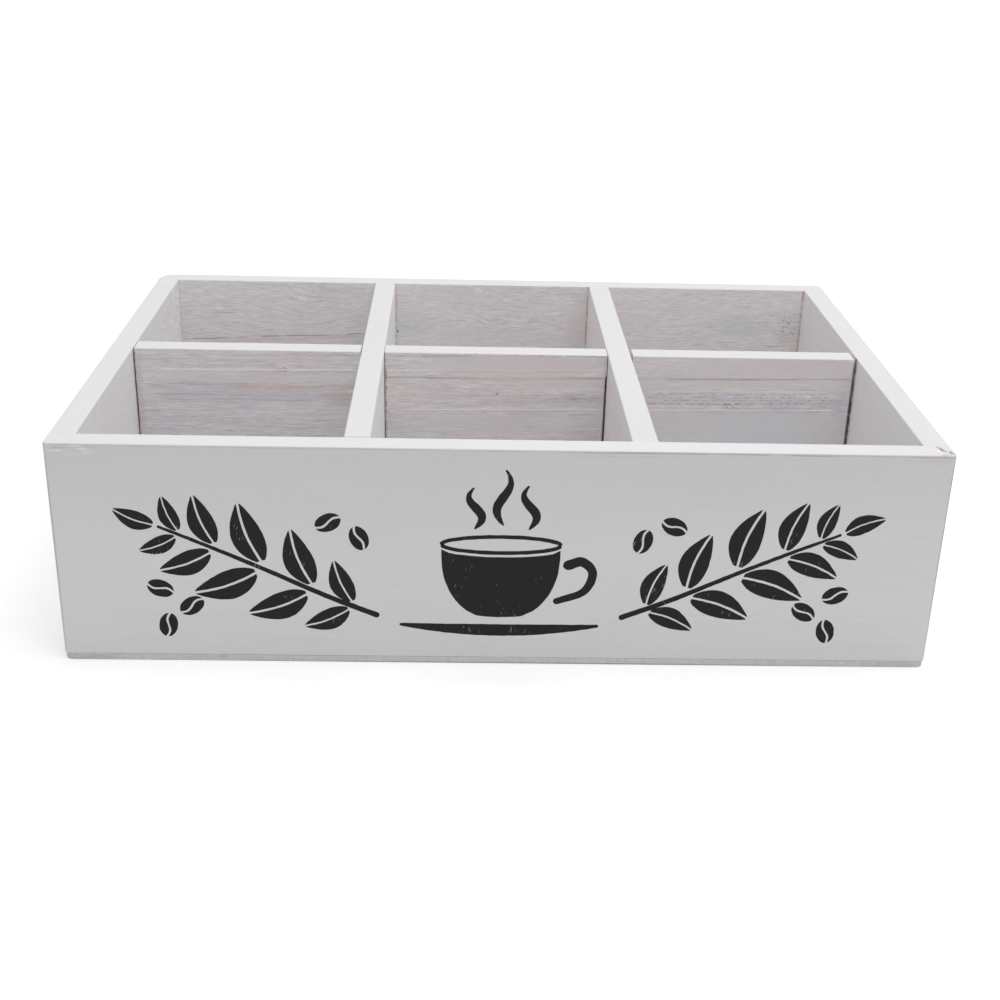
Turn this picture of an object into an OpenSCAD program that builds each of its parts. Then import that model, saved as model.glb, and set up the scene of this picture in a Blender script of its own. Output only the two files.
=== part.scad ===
// Coffee station organizer: a shallow open box of painted boards with six bays in two rows.
// Two long dividers and one cross divider lap through each other like an egg crate.
// The front and back boards cover the ends of the side boards and of the long dividers, and a thin
// base panel is nailed on from below.
// The origin is at the middle of the underside. +X runs to the right, the front faces -Y, +Z is up.

/* [Bays] */
// Width of the two left bays
left_bay_w = 94; // [60:1:140]
// Width of the two middle bays
middle_bay_w = 93; // [60:1:140]
// Width of the two right bays
right_bay_w = 95; // [60:1:140]
// Depth of the three front bays
front_bay_d = 96; // [60:1:140]
// Depth of the three back bays
back_bay_d = 95; // [60:1:140]
// Height of the walls and dividers above the base panel
wall_h = 83.4; // [50:0.1:140]

/* [Boards] */
// Thickness of the four wall boards
wall_t = 9.5; // [8:0.5:14]
// Thickness of the three divider boards
divider_t = 9.5; // [6:0.5:14]
// Thickness of the base panel
base_t = 2.7; // [2:0.1:6]

/* [Sanding] */
// Radius sanded on the top edges of the walls and dividers
rim_ease = 0.7; // [0.3:0.1:0.7]
// Radius sanded on the top edge of the base panel, which leaves a seam under the walls
panel_ease = 0.4; // [0.2:0.1:0.8]
// Plan radius of the two front corners of the walls
front_corner_r = 1.5; // [1.5:0.1:5]
// Plan radius of the front corners of the base panel
panel_front_r = 3; // [1.5:0.1:6]
// Plan radius of the back right corner, walls and base panel alike
back_right_r = 2.5; // [1.5:0.1:6]
// Plan radius of the back left corner, walls and base panel alike, which is worn rounder
back_left_r = 7.5; // [1.5:0.1:8]

/* [Divider grid] */
// Clearance on each side of a cross lap
lap_gap = 0.4; // [0:0.05:0.5]
// Gap between the cross divider's left end and the left wall
cross_gap_left = 0.4; // [0:0.1:2]
// Gap between the cross divider's right end and the right wall
cross_gap_right = 1; // [0:0.1:2]

/* [Brads] */
// Diameter of a brad's shank
brad_d = 1.2; // [0.8:0.1:2]
// Diameter of a brad's head
brad_head_d = 2; // [1.6:0.1:3]
// Thickness of a brad's head
brad_head_t = 0.6; // [0.4:0.1:1]
// Length of the brads driven through the front and back boards
wall_brad_len = 25; // [16:1:35]
// Length of the brads driven up through the base panel
base_brad_len = 15; // [10:1:20]
// Brads in each upright row
brad_rows = 3; // [2:1:4]
// Height of the lowest brad above the base panel, and of the rim above the highest
brad_edge = 15; // [10:1:24]
// How far the heads in the front and back boards are sunk, under filler
wall_sink = 2; // [1.5:0.1:3]
// How far the heads in the base panel are sunk
base_sink = 0.3; // [0.1:0.1:0.6]
// Clearance all round a brad in its hole
brad_gap = 0.05; // [0.02:0.01:0.1]

/* [Hidden] */
$fn = 64;

inner_w = left_bay_w + middle_bay_w + right_bay_w + 2 * divider_t;
inner_d = front_bay_d + divider_t + back_bay_d;
box_w = inner_w + 2 * wall_t;
box_d = inner_d + 2 * wall_t;

// Middle planes of the boards and of the bays
side_x = (box_w - wall_t) / 2;
end_y = (box_d - wall_t) / 2;
divider_xs = [left_bay_w - (inner_w - divider_t) / 2, (inner_w - divider_t) / 2 - right_bay_w];
cross_y = (front_bay_d - back_bay_d) / 2;
bay_xs = [(left_bay_w - inner_w) / 2, (divider_xs[0] + divider_xs[1]) / 2, (inner_w - right_bay_w) / 2];
bay_ys = [(front_bay_d - inner_d) / 2, (inner_d - back_bay_d) / 2];

// The cross laps meet at half the height of the boards
lap_h = wall_h / 2;

// The brads stand in upright rows, one row at each board end that they hold
brad_step = (wall_h - 2 * brad_edge) / (brad_rows - 1);
brad_zs = [for (i = [0 : brad_rows - 1]) base_t + brad_edge + i * brad_step];
brad_xs = [-side_x, divider_xs[0], divider_xs[1], side_x];
base_brad_spots = concat(
    [for (x = bay_xs, y = [-end_y, cross_y, end_y]) [x, y]],
    [for (x = brad_xs, y = bay_ys) [x, y]]);

// The upright corners of the box in plan, each with the turn that points it inwards
front_left = [-box_w / 2, -box_d / 2, 0];
front_right = [box_w / 2, -box_d / 2, 90];
back_right = [box_w / 2, box_d / 2, 180];
back_left = [-box_w / 2, box_d / 2, 270];

// How far a cutting shape runs past the face that it cuts
past = 2;

// End view of a bar that stands on X = 0, with both of its top edges eased
module eased_section(width, height, ease) {
    translate([-width / 2, 0]) square([width, height - ease]);
    translate([ease - width / 2, 0]) square([width - 2 * ease, height]);
    for (side = [-1, 1]) translate([side * (width / 2 - ease), height - ease]) circle(ease);
}

// A bar with eased top edges, centred on the origin and running along X
module eased_bar(length, width, height, ease) {
    rotate([90, 0, 90]) linear_extrude(length, center = true) eased_section(width, height, ease);
}

// What sanding takes off an upright corner: a square column less a round post with an eased top.
// The corner is at the origin and the wood lies towards +X and +Y.
module corner_waste(r, height, ease) {
    difference() {
        translate([-past, -past, -past]) cube([r + past, r + past, height + 2 * past]);
        translate([r, r, 0]) rotate_extrude() {
            translate([0, -2 * past]) square([r, height - ease + 2 * past]);
            square([r - ease, height]);
            translate([r - ease, height - ease]) circle(ease);
        }
    }
}

module round_corner(corner, r, height, ease) {
    translate([corner[0], corner[1], 0]) rotate([0, 0, corner[2]]) corner_waste(r, height, ease);
}

// One brad, its head's top at the origin and its point towards +Z
module brad(length) {
    point = 1.5 * brad_d;
    cylinder(h = brad_head_t, d = brad_head_d);
    cylinder(h = length - point, d = brad_d);
    translate([0, 0, length - point]) cylinder(h = point, d1 = brad_d, d2 = brad_d / 5);
}

// The hole that a brad leaves in the wood, with the seat of its head
module brad_hole(length) {
    translate([0, 0, -brad_gap]) cylinder(h = brad_head_t + 2 * brad_gap, d = brad_head_d + 2 * brad_gap);
    cylinder(h = length + brad_gap, d = brad_d + 2 * brad_gap);
}

// Places its children at every brad of the front board, head outwards
module at_front_brads() {
    for (x = brad_xs, z = brad_zs)
        translate([x, wall_sink - box_d / 2, z]) rotate([-90, 0, 0]) children();
}

// The back board is nailed like the front one
module at_back_brads() {
    mirror([0, 1, 0]) at_front_brads() children();
}

// Places its children at every brad of the base panel, head downwards
module at_base_brads() {
    for (spot = base_brad_spots) translate([spot[0], spot[1], base_sink]) children();
}

module all_brad_holes() {
    at_front_brads() brad_hole(wall_brad_len);
    at_back_brads() brad_hole(wall_brad_len);
    at_base_brads() brad_hole(base_brad_len);
}

// The slot that leaves a board half its height where it crosses another
module lap_slot(z) {
    slot = divider_t + 2 * lap_gap;
    translate([-slot / 2, -slot / 2, z]) cube([slot, slot, wall_h]);
}

// A board over the whole width at the front (end -1) or the back (end 1), eased at its ends too
module end_board(end) {
    intersection() {
        translate([0, end * end_y, 0]) eased_bar(box_w, wall_t, wall_h, rim_ease);
        rotate([0, 0, 90]) eased_bar(box_d, box_w, wall_h, rim_ease);
    }
}

module front_board() {
    color("gainsboro") difference() {
        translate([0, 0, base_t]) difference() {
            end_board(-1);
            round_corner(front_left, front_corner_r, wall_h, rim_ease);
            round_corner(front_right, front_corner_r, wall_h, rim_ease);
        }
        all_brad_holes();
    }
}

module back_board() {
    color("gainsboro") difference() {
        translate([0, 0, base_t]) difference() {
            end_board(1);
            round_corner(back_right, back_right_r, wall_h, rim_ease);
            round_corner(back_left, back_left_r, wall_h, rim_ease);
        }
        all_brad_holes();
    }
}

// A side board between the front and back boards; side is -1 for left and 1 for right
module side_board(side) {
    difference() {
        translate([side * side_x, 0, base_t]) rotate([0, 0, 90])
            eased_bar(inner_d, wall_t, wall_h, rim_ease);
        all_brad_holes();
    }
}

module left_side_board() {
    color("whitesmoke") side_board(-1);
}

module right_side_board() {
    color("whitesmoke") side_board(1);
}

// A divider from the front board to the back board, slotted from below for the cross divider
module long_divider(x) {
    difference() {
        translate([x, 0, base_t]) rotate([0, 0, 90]) eased_bar(inner_d, divider_t, wall_h, rim_ease);
        translate([x, cross_y, 0]) lap_slot(base_t + lap_h + lap_gap - wall_h);
        all_brad_holes();
    }
}

module left_divider() {
    color("snow") long_divider(divider_xs[0]);
}

module right_divider() {
    color("snow") long_divider(divider_xs[1]);
}

// The divider across the box, slotted from above for the long dividers
module cross_divider() {
    length = inner_w - cross_gap_left - cross_gap_right;
    color("ghostwhite") difference() {
        translate([(cross_gap_left - cross_gap_right) / 2, cross_y, base_t])
            eased_bar(length, divider_t, wall_h, rim_ease);
        for (x = divider_xs) translate([x, cross_y, 0]) lap_slot(base_t + lap_h);
        all_brad_holes();
    }
}

module base_panel() {
    color("thistle") difference() {
        intersection() {
            eased_bar(box_w, box_d, base_t, panel_ease);
            rotate([0, 0, 90]) eased_bar(box_d, box_w, base_t, panel_ease);
        }
        round_corner(front_left, panel_front_r, base_t, panel_ease);
        round_corner(front_right, panel_front_r, base_t, panel_ease);
        round_corner(back_right, back_right_r, base_t, panel_ease);
        round_corner(back_left, back_left_r, base_t, panel_ease);
        all_brad_holes();
        at_base_brads() translate([0, 0, -past]) cylinder(h = past, d = brad_head_d + 2 * brad_gap);
    }
}

module front_brads() {
    color("silver") at_front_brads() brad(wall_brad_len);
}

module back_brads() {
    color("silver") at_back_brads() brad(wall_brad_len);
}

module base_brads() {
    color("silver") at_base_brads() brad(base_brad_len);
}

front_board();
back_board();
left_side_board();
right_side_board();
left_divider();
right_divider();
cross_divider();
base_panel();
front_brads();
back_brads();
base_brads();
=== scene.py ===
import math
from collections import namedtuple

import bpy
import numpy as np
from mathutils import Euler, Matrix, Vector, noise


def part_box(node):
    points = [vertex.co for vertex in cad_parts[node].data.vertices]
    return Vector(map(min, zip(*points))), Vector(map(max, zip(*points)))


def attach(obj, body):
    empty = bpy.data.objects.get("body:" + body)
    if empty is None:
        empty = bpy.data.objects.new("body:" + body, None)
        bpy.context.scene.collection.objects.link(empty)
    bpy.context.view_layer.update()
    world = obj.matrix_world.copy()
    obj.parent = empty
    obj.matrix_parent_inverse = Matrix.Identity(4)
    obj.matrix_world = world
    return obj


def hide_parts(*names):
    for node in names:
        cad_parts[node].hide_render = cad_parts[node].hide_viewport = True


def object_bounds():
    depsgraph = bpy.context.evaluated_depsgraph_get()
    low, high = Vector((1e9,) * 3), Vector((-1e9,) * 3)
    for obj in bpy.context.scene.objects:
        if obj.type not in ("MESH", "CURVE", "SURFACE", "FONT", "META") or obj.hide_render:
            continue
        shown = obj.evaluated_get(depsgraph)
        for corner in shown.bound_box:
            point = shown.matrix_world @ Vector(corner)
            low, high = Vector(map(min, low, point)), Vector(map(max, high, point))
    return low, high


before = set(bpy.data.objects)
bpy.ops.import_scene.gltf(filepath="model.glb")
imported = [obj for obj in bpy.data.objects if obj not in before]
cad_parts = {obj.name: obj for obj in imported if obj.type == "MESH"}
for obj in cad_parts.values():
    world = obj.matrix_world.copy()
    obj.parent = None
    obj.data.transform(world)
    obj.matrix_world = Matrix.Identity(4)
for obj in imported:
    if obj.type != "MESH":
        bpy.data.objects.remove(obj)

cadLow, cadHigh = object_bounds()
mm = 0.001
scene = bpy.context.scene


# A value is a socket that adds, multiplies and so on like a number
class Value:
    def __init__(self, graph, socket):
        self.graph, self.socket = graph, socket

    def __add__(self, other):
        return self.graph.math("ADD", self, other)

    def __radd__(self, other):
        return self.graph.math("ADD", other, self)

    def __sub__(self, other):
        return self.graph.math("SUBTRACT", self, other)

    def __rsub__(self, other):
        return self.graph.math("SUBTRACT", other, self)

    def __mul__(self, other):
        return self.graph.math("MULTIPLY", self, other)

    def __rmul__(self, other):
        return self.graph.math("MULTIPLY", other, self)

    def __truediv__(self, other):
        return self.graph.math("DIVIDE", self, other)

    def __rtruediv__(self, other):
        return self.graph.math("DIVIDE", other, self)

    def __abs__(self):
        return self.graph.math("ABSOLUTE", self)


class Graph:
    def __init__(self, tree):
        self.tree = tree

    # Settings are set first, then the sockets, by name or number
    def node(self, kind, settings=None, sockets=None):
        made = self.tree.nodes.new(kind)
        for key, setting in (settings or {}).items():
            setattr(made, key, setting)
        for key, content in (sockets or {}).items():
            if isinstance(content, Value):
                self.tree.links.new(content.socket, made.inputs[key])
            else:
                made.inputs[key].default_value = content
        return made

    def value(self, kind, settings=None, sockets=None, out=0):
        return Value(self, self.node(kind, settings, sockets).outputs[out])

    def math(self, operation, *terms):
        return self.value("ShaderNodeMath", {"operation": operation}, dict(enumerate(terms)))

    def vector(self, x, y, z):
        return self.value("ShaderNodeCombineXYZ", None, {0: x, 1: y, 2: z})

    def parts(self, vector):
        split = self.node("ShaderNodeSeparateXYZ", None, {0: vector})
        return [Value(self, socket) for socket in split.outputs]

    # 0 at start, 1 at end, smooth between; start may be the larger
    def ramp(self, value, start, end):
        return self.value("ShaderNodeMapRange", {"interpolation_type": "SMOOTHSTEP"},
                          {0: value, 1: start, 2: end, 3: 0.0, 4: 1.0})

    def noise(self, place, detail=2.0, roughness=0.5, seed=0.0, out=0):
        return self.value("ShaderNodeTexNoise", {"noise_dimensions": "4D"}, {
            "Vector": place, "W": seed, "Scale": 1.0, "Detail": detail, "Roughness": roughness}, out)

    def blend(self, amount, first, second):
        return self.value("ShaderNodeMix", {"data_type": "RGBA", "clamp_factor": True},
                          {0: amount, 6: first, 7: second}, out=2)

    # A vector or colour times a number, or times another vector
    def scaled(self, vector, amount):
        plain = vector if isinstance(vector, Value) else vector[:3]
        return self.value("ShaderNodeVectorMath", {"operation": "SCALE"}, {0: plain, "Scale": amount})

    def times(self, first, second):
        return self.value("ShaderNodeVectorMath", {"operation": "MULTIPLY"}, {0: first, 1: second})

    # A surface's own coordinates in millimetres
    def millimetres(self):
        return [part * 1000.0 for part in self.parts(self.value("ShaderNodeTexCoord", out=3))]


def rgb(red, green, blue):
    return (red, green, blue, 1.0)


def newMaterial(name):
    made = bpy.data.materials.new(name)
    made.use_nodes = True
    made.node_tree.nodes.clear()
    return made, Graph(made.node_tree)


# The shader at a material's end; height is in parts of the relief
def surface(graph, colour, roughness, height, relief, fixed=None):
    bump = graph.value("ShaderNodeBump", None, {"Strength": 1.0, "Distance": relief, "Height": height})
    shader = graph.value("ShaderNodeBsdfPrincipled", None, {
        "Base Color": colour, "Roughness": roughness, "Normal": bump, **(fixed or {})})
    graph.node("ShaderNodeOutputMaterial", None, {"Surface": shader})


# Painted wood. Heights, places and widths are in millimetres, as the object stands.
paint = {
    "white": rgb(0.775, 0.775, 0.775),
    "chalk": rgb(0.865, 0.862, 0.868),
    "plain": rgb(0.845, 0.806, 0.820),
    "warm": rgb(0.850, 0.780, 0.770),
    "cool": rgb(0.795, 0.780, 0.832),
    "rose": rgb(0.700, 0.585, 0.560),
    "brown": rgb(0.500, 0.370, 0.320),
    "dark": rgb(0.240, 0.195, 0.175),
    "pale": rgb(0.960, 0.950, 0.955),
    "blue": rgb(0.640, 0.640, 0.710),
    "green": rgb(0.690, 0.730, 0.690),
    "mist": rgb(0.790, 0.815, 0.850),
    "veneer": rgb(0.620, 0.470, 0.330),
    "late": rgb(0.470, 0.320, 0.200),
}


# The rows of a look. A band runs along the grain at a height, a spot is an ellipsoid of stain or wear, or of
# painted shade or highlight, an edge is bare wood or painted shade up the side of a gap, and a curl lifts the
# grain.
# Two numbers for a spot's place and size are along and up on the inner face, three are the object's own.
# Broken is where its dashes start and end.
Band = namedtuple("Band", "height half start end tint strength wander dash broken slope raised",
                  defaults=(0.4, 24.0, (0.25, 0.55), 0.0, 0.0))
Spot = namedtuple("Spot", "at size tint strength ragged broken dash raised",
                  defaults=(None, 1.0, 1.2, None, (4.0, 0.5), 0.0))
Edge = namedtuple("Edge", "at width tint strength rise raised", defaults=((-9.0, 200.0), 0.0))
Curl = namedtuple("Curl", "at size lift slant", defaults=(0.0,))
bandEnd = 5.0  # how far a band fades in and out at its ends
faceReach = 9.0  # how far into the wood a spot of an inner face reaches
rimPaint = (0.42, 0.18)  # how far below the top the rim's full paint starts and covers all

# The noise drawn out along the grain: length and width of its cells, detail, roughness and seed
fibres = {
    "fine": (4.5, 0.40, 2.0, 0.7, 1.0), "streak": (45.0, 1.5, 3.0, 0.6, 2.0),
    "fleck": (5.0, 0.34, 1.0, 0.5, 5.0), "thread": (9.0, 0.5, 1.0, 0.5, 6.0),
    "cloud": (70.0, 15.0, 2.0, 0.5, 3.0), "second": (46.0, 19.0, 2.0, 0.5, 4.0),
    "veneer": (90.0, 9.0, 2.0, 0.5, 8.0),
}
# What a look has where it says nothing else
usual = {
    # Some of these paint light and shade into the colour: one scales a board's thin paint brighter as painted
    # light, one darkens it downwards as painted shade, and one darkens an outer face towards the top as
    # painted shade
    "tilt": 0.0, "swing": (2.0, 60.0, 26.0), "ripple": 0.8, "chalk": 0.3, "streaks": 0.24, "fines": 0.40,
    "threads": 0.05, "ringGap": 2.1, "rings": 0.02, "shadeDownwards": (80.0, 40.0, 0.0), "paintedLight": 1.0, "flecks": 0.30,
    "brushed": 0.05, "shade": 0.0, "outerFlecks": 0.2, "relief": 0.00006, "inner": None, "face": 0.0,
    "curls": [], "calm": [], "bands": [], "spots": [], "edges": [], "outerBands": [], "marks": [],
}


class PaintedWood:
    # The axes along, across and through a board, by the way its grain runs
    axes = {"x": (0, 2, 1), "y": (1, 2, 0), "flat": (0, 1, 2)}

    def __init__(self, name, look):
        self.made, self.g = newMaterial(name)
        self.look, g = {**usual, **look}, self.g
        self.place = g.millimetres()
        self.along, self.across, self.through = [self.place[axis] for axis in self.axes[look["along"]]]
        self.height = self.across - self.along * self.look["tilt"]
        self.grain = self.bent()
        self.fine, self.streak, self.fleck, thread = [
            self.fibre(*fibres[kind]) for kind in ("fine", "streak", "fleck", "thread")]
        self.thread = g.ramp(thread, 0.56, 0.66) - g.ramp(thread, 0.44, 0.34)
        self.bulge = self.fine * 0.45 + self.streak * 0.55 + self.fleck * 0.25 + self.thread * 0.15
        self.finish()

    # The grain's own coordinate: it drifts over the board, swings, ripples, and curls round figures
    def bent(self):
        g, look = self.g, self.look
        swing, length, width = look["swing"]
        place = g.vector(self.along / length, self.across / width, self.through / 40.0)
        small = g.vector(self.along / 9.0, self.across / 4.0, self.through / 9.0)
        grain = self.height + (g.noise(place, 1.0, 0.4, look["seed"]) - 0.5) * (2.0 * swing)
        grain = grain + (g.noise(small, 1.0, 0.5, look["seed"]) - 0.5) * look["ripple"]
        for curl in look["curls"]:
            sideways = (self.along - curl.at[0]) / curl.size[0]
            upwards = (self.across - curl.at[1] - sideways * curl.slant) / curl.size[1]
            grain = grain + g.ramp(sideways * sideways + upwards * upwards, 1.0, 0.0) * curl.lift
        return grain

    # Noise drawn out along the grain
    def fibre(self, length, width, detail=2.0, roughness=0.5, shift=0.0):
        place = self.g.vector(self.along / length, self.grain / width, self.through / width)
        return self.g.noise(place, detail, roughness, self.look["seed"] + shift)

    # Thin lines where the grain crosses one level of a slow noise, as year rings show
    def rings(self, spacing, sharpness):
        turns = self.g.math("SINE", self.grain * (2.0 * math.pi / spacing) + self.streak * 5.0)
        return self.g.ramp(turns, 1.0 - sharpness, 1.0)

    def band(self, band):
        g, seed = self.g, 11.0 + band.height
        line = self.height - self.along * band.slope
        wander = (self.fibre(26.0, 8.0, 2.0, 0.5, seed) - 0.5) * (2.0 * band.wander)
        offset = abs(line + wander - band.height)
        dashes = self.fibre(band.dash, 1.1, 2.0, 0.55, seed + 10.0)
        mask = g.ramp(offset, band.half, band.half * 0.25) * g.ramp(dashes, *band.broken)
        for end, inwards in ((band.start, bandEnd), (band.end, -bandEnd)):
            mask = mask * g.ramp(self.along, end, end + inwards)
        return mask

    def spot(self, spot):
        g, at, size = self.g, list(spot.at), list(spot.size)
        if len(at) == 2:
            through = self.axes[self.look["along"]][2]
            at.insert(through, self.look["face"])
            size.insert(through, faceReach)
        reach = (self.streak - 0.5) * spot.ragged
        for value, centre, half in zip(self.place, at, size):
            part = (value - centre) / half
            reach = reach + part * part
        mask = g.ramp(reach, 1.0, 0.1)
        if spot.broken:
            mask = mask * g.ramp(self.fibre(*spot.dash, 2.0, 0.6, 31.0), *spot.broken)
        return mask

    # Bare or dirty wood along an upright edge beside a gap, or painted shade where a face shows inside the
    # gap
    def edge(self, edge):
        g, z = self.g, self.place[2]
        low, high = edge.rise
        rough = g.noise(g.vector(self.along / 3.0, z / 1.6, 0.0), 2.0, 0.6, 41.0 + edge.at)
        offset = abs(self.along - edge.at + (rough - 0.5) * 1.2)
        worn = g.ramp(g.noise(g.vector(0.0, z / 3.2, 0.0), 2.0, 0.6, edge.at), 0.40, 0.56)
        mask = g.ramp(offset, edge.width, edge.width * 0.4) * (0.25 + worn * 0.75)
        return mask * g.ramp(z, low, low + 3.0) * g.ramp(z, high, high - 3.0)

    # Lays the rows of one kind over a colour, and raises or presses in the wood where they say so
    def laid(self, colour, kind, rows, where=None):
        for row in rows:
            mask = getattr(self, kind)(row)
            shown = mask * where if where else mask
            colour = self.g.blend(shown * row.strength, colour, paint[row.tint])
            if row.raised:
                self.bulge = self.bulge + mask * row.raised
        return colour

    # Thin paint inside, tinted by the wood, made brighter as painted light and darker downwards as painted
    # shade
    def thinPaint(self):
        g, look = self.g, self.look
        cloud, second = self.fibre(*fibres["cloud"]), self.fibre(*fibres["second"])
        colour = g.blend(g.ramp(cloud, 0.40, 0.64), paint["plain"], paint["warm"])
        colour = g.blend(g.ramp(second, 0.46, 0.68) * 0.8, colour, paint["cool"])
        colour = g.blend(look["chalk"], colour, paint["chalk"])
        uneven = (self.streak - 0.5) * look["streaks"] + (self.fine - 0.5) * look["fines"]
        uneven = uneven + self.thread * look["threads"]
        uneven = uneven - self.rings(look["ringGap"], 0.35) * look["rings"]
        for area in look["calm"]:
            uneven = uneven * (1.0 - self.spot(area) * area.strength)
        # Painted light and shade: a whole board's thin paint is scaled brighter as painted light, and
        # darkened downwards as painted shade
        start, end, amount = look["shadeDownwards"]
        shade = look["paintedLight"] - g.ramp(self.height, start, end) * amount
        colour = g.scaled(colour, (1.0 + uneven) * shade)
        colour = g.blend(g.ramp(self.fleck, 0.69, 0.79) * look["flecks"], colour, paint["brown"])
        for kind in ("band", "spot", "edge"):
            colour = self.laid(colour, kind, look[kind + "s"])
        return colour

    # Full paint outside and on the rim. On an outer face a painted shade darkens it a little towards the top.
    def thickPaint(self, outside):
        g, look, z = self.g, self.look, self.place[2]
        rough = g.ramp(z, 42.0, 14.0) * 0.04 + look["brushed"]
        uneven = (self.streak - 0.5) * rough + (self.fine - 0.5) * rough
        wide = g.vector(self.along / 60.0, self.across / 22.0, self.through / 22.0)
        slow = g.noise(wide, 2.0, 0.5, look["seed"])
        shade = 1.0 - outside * g.ramp(z, 38.0, 84.0) * look["shade"]
        colour = g.scaled(paint["white"], (1.0 + uneven + (slow - 0.5) * 0.06) * shade)
        return g.blend(g.ramp(self.fleck, 0.72, 0.80) * look["outerFlecks"], colour, paint["blue"])

    def finish(self):
        g, look = self.g, self.look
        inside = g.ramp(self.through, *look["inner"]) if look["inner"] else 1.0
        rimStart, rimFull = [cadHigh.z * 1000.0 - below for below in rimPaint]
        rim = g.ramp(self.place[2] + (self.streak - 0.5) * 0.4, rimStart, rimFull)
        cover = 1.0 - inside * (1.0 - rim)
        outside = (1.0 - rim) * (1.0 - inside)
        colour = g.blend(cover, self.thinPaint(), self.thickPaint(outside))
        colour = self.laid(colour, "band", look["outerBands"], outside)
        colour = self.laid(colour, "spot", look["marks"])
        if "mottle" in look:
            near = g.vector(self.along / 1.5, self.across / 1.5, self.through / 3.0)
            patches = g.noise(near, 2.0, 0.6, 77.0)
            colour = g.scaled(colour, look["darker"] * (1.0 + (patches - 0.5) * look["mottle"]))
        if "bareBelow" in look:
            late = g.ramp(self.fibre(*fibres["veneer"]), 0.38, 0.64)
            veneer = g.blend(late, paint["veneer"], paint["late"])
            shade = 1.0 + (self.streak - 0.5) * 0.5 + (self.fine - 0.5) * 0.4 - self.rings(3.1, 0.5) * 0.1
            below = g.ramp(self.place[2], look["bareBelow"], look["bareBelow"] * 0.5)
            colour = g.blend(below, colour, g.scaled(veneer, shade))
        roughness = 0.58 + (self.streak - 0.5) * 0.16 + (1.0 - cover) * 0.06
        surface(g, colour, roughness, self.bulge * (1.0 - cover * 0.6), look["relief"])


# A board's lattice: how far apart its lines are along, across and through the board
cell = {"along": 2.6 * mm, "across": 0.62 * mm, "through": 0.9 * mm}
# Shares of an edge's radius at which lattice lines lie, so that its arc has even steps
arcShares = [1.0 - math.tan(math.radians(angle)) for angle in (45, 30, 15, 0)]


# Lattice lines from low to high, about a step apart, with every mark on a line
def latticeLines(low, high, step, marks):
    stops = sorted({round(float(m), 7) for m in [low, high, *marks] if low <= m <= high})
    stops = [stops[0]] + [b for a, b in zip(stops, stops[1:]) if b - a > 0.00002]
    spans = [np.linspace(a, b, max(1, round((b - a) / step)) + 1) for a, b in zip(stops, stops[1:])]
    return np.unique(np.concatenate(spans).round(7))


def edgeMarks(low, high, radius):
    inwards = [share * radius for share in arcShares]
    return [low + d for d in inwards] + [high - d for d in inwards]


# The closed skin of a block of lattice cells, less the cells inside the slots
def blockSkin(lines, slots=()):
    counts = [len(line) for line in lines]
    solid = np.ones([count - 1 for count in counts], bool)
    middles = [(line[1:] + line[:-1]) / 2 for line in lines]
    for slotLow, slotHigh in slots:
        taken = [(m > a) & (m < b) for m, a, b in zip(middles, slotLow, slotHigh)]
        solid &= ~(taken[0][:, None, None] & taken[1][None, :, None] & taken[2][None, None, :])
    number = np.arange(np.prod(counts)).reshape(counts)
    quads = []
    for axis in range(3):
        padded = np.pad(solid, [(1, 1) if a == axis else (0, 0) for a in range(3)])
        before = np.take(padded, range(0, padded.shape[axis] - 1), axis)
        after = np.take(padded, range(1, padded.shape[axis]), axis)
        second, third = (axis + 1) % 3, (axis + 2) % 3
        for outwards, wall in ((True, before & ~after), (False, after & ~before)):
            cells = np.argwhere(wall)
            corners = []
            for stepSecond, stepThird in ((0, 0), (1, 0), (1, 1), (0, 1)):
                spot = cells.copy()
                spot[:, second] += stepSecond
                spot[:, third] += stepThird
                corners.append(number[tuple(spot.T)])
            quad = np.stack(corners, 1)
            quads.append(quad if outwards else quad[:, ::-1])
    quads = np.concatenate(quads)
    used, quads = np.unique(quads, return_inverse=True)
    grid = np.stack(np.meshgrid(*lines, indexing="ij"), -1).reshape(-1, 3)
    return grid[used], quads.reshape(-1, 4)


# Bends the square edge between two faces into an arc. A face is its axis, its plane and the way in.
def roundEdge(points, faceA, faceB, radius):
    (axisA, planeA, inA), (axisB, planeB, inB) = faceA, faceB
    a = (points[:, axisA] - planeA) * inA - radius
    b = (points[:, axisB] - planeB) * inB - radius
    near = (a < 0) & (b < 0)
    level = np.maximum(abs(a), abs(b))
    shrink = np.where(near, level / np.maximum(np.hypot(a, b), 1e-12), 1.0)
    points[:, axisA] = np.where(near, planeA + (a * shrink + radius) * inA, points[:, axisA])
    points[:, axisB] = np.where(near, planeB + (b * shrink + radius) * inB, points[:, axisB])


def smoothStep(value, start, end):
    share = np.clip((value - start) / (end - start), 0.0, 1.0)
    return share * share * (3.0 - 2.0 * share)


# A ragged chip in a top face: points near its middle go down, unevenly
def chip(points, spot):
    offset = (points - np.array(spot["at"]) * mm) / mm
    offset[:, 0] += offset[:, 1] * spot["lean"]
    away = ((offset / spot["size"]) ** 2).sum(1)
    for k in np.nonzero(away < 1.6)[0]:
        ragged = noise.noise(Vector(points[k]) / (0.8 * mm))
        inwards = smoothStep(1.0 + 0.9 * ragged - away[k], 0.0, 0.4)
        points[k, 2] -= spot["depth"] * mm * (0.8 + 0.5 * ragged) * inwards


def meshObject(name, points, faces):
    mesh = bpy.data.meshes.new(name)
    mesh.from_pydata(np.asarray(points).tolist(), [], np.asarray(faces).tolist())
    mesh.update()
    made = bpy.data.objects.new(name, mesh)
    scene.collection.objects.link(made)
    return made


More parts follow.
